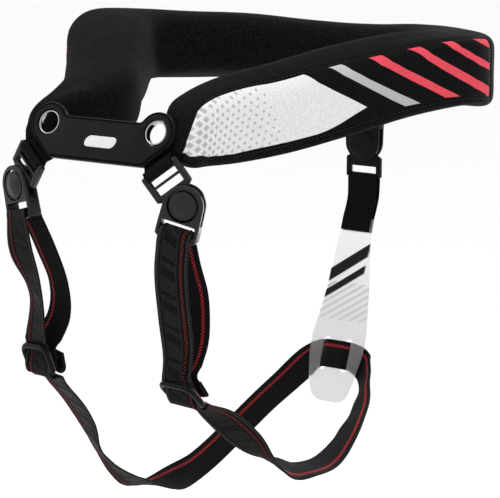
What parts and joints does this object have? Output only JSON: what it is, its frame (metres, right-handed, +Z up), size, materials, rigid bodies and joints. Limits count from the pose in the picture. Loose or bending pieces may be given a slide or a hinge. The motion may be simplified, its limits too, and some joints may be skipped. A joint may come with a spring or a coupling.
{
  "type": "protective neck collar",
  "caption": "Padded horseshoe neck collar with a front plate, swivel buckles and straps that pass under the arms to a slotted back blade.",
  "frame": {"origin": "in the neck hollow, on the middle plane, level with the lower edge of the pad's inner wall at the back", "axes": "+Z up, -Y towards the front plate, +X towards the wearer's left"},
  "size_m": [0.2852, 0.3152, 0.3099],
  "materials": {
    "fabric": "padded knit cover with a printed pattern",
    "moulded": "satin",
    "buckle": "satin",
    "nickel": "bright",
    "webbing": "woven webbing with coloured edge stitching",
    "blade": "satin, slightly see-through"
  },
  "bodies": {
    "root": {"collar_pad": "fabric", "front_plate": "moulded", "eyelet_left": "nickel", "eyelet_right": "nickel", "front_tab_left": "webbing", "front_tab_right": "webbing", "buckle_frame_left": "buckle", "buckle_head_left": "buckle", "buckle_button_left": "buckle", "buckle_frame_right": "buckle", "buckle_head_right": "buckle", "buckle_button_right": "buckle", "loop_strap_left": "webbing", "loop_strap_right": "webbing", "slider_left": "buckle", "slider_right": "buckle", "long_strap": "webbing", "rear_tab": "webbing", "rear_head": "buckle", "rear_button": "buckle", "rear_frame": "buckle", "rear_strap": "webbing", "back_blade": "blade"}
  },
  "joints": []
}
